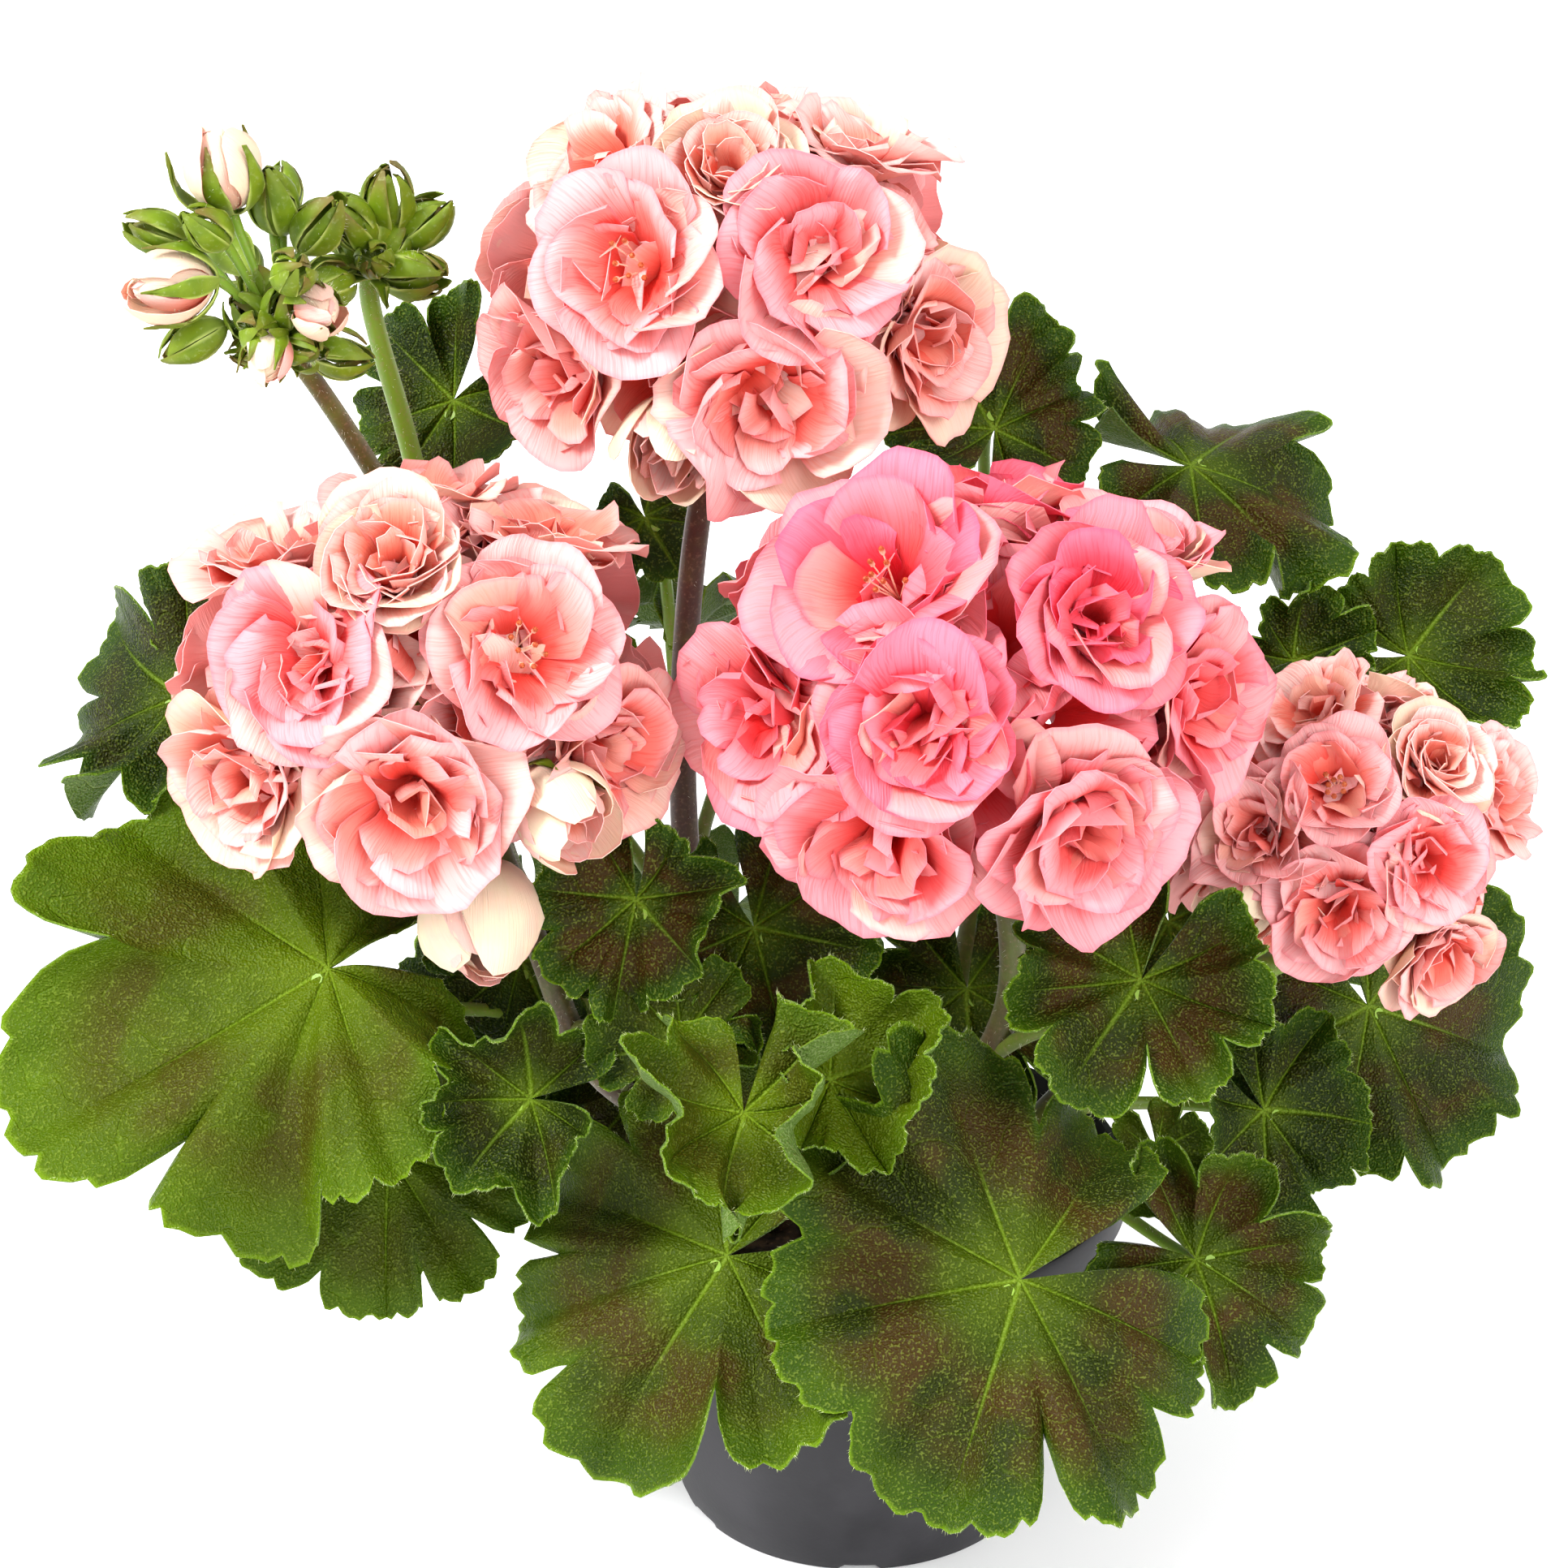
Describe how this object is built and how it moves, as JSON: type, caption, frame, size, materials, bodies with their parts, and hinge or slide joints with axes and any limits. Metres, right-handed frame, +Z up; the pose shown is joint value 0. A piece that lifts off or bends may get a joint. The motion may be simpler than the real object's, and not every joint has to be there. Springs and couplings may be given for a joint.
{
  "type": "potted rosebud pelargonium",
  "caption": "Rosebud pelargonium with lobed leaves, domed heads of double pink florets and clusters of buds, in a plain round tapered nursery pot.",
  "frame": {"origin": "middle of the pot's underside", "axes": "+Z up, -Y towards the front of the plant, +X to its right as seen from the front"},
  "size_m": [0.3549, 0.259, 0.3581],
  "materials": {
    "pot_plastic": "matte",
    "potting_soil": "matte",
    "foliage": "satin",
    "petals_salmon": "matte",
    "petals_pink": "matte",
    "petals_cream": "matte"
  },
  "bodies": {
    "root": {"pot": "pot_plastic", "soil": "potting_soil", "shoot_front_left": "foliage", "shoot_left": "foliage", "shoot_front": "foliage", "shoot_right": "foliage", "shoot_back_left": "foliage", "shoot_back_right": "foliage", "petals_a": "petals_salmon", "petals_b": "petals_salmon", "petals_c": "petals_pink", "petals_d": "petals_salmon", "bud_open_a": "petals_cream", "bud_open_b": "petals_cream", "bud_closed_b": "petals_cream", "bud_open_d": "petals_cream", "bud_cream_1": "petals_cream", "bud_cream_2": "petals_cream", "bud_cream_3": "petals_cream", "bud_cream_4": "petals_cream"}
  },
  "joints": []
}
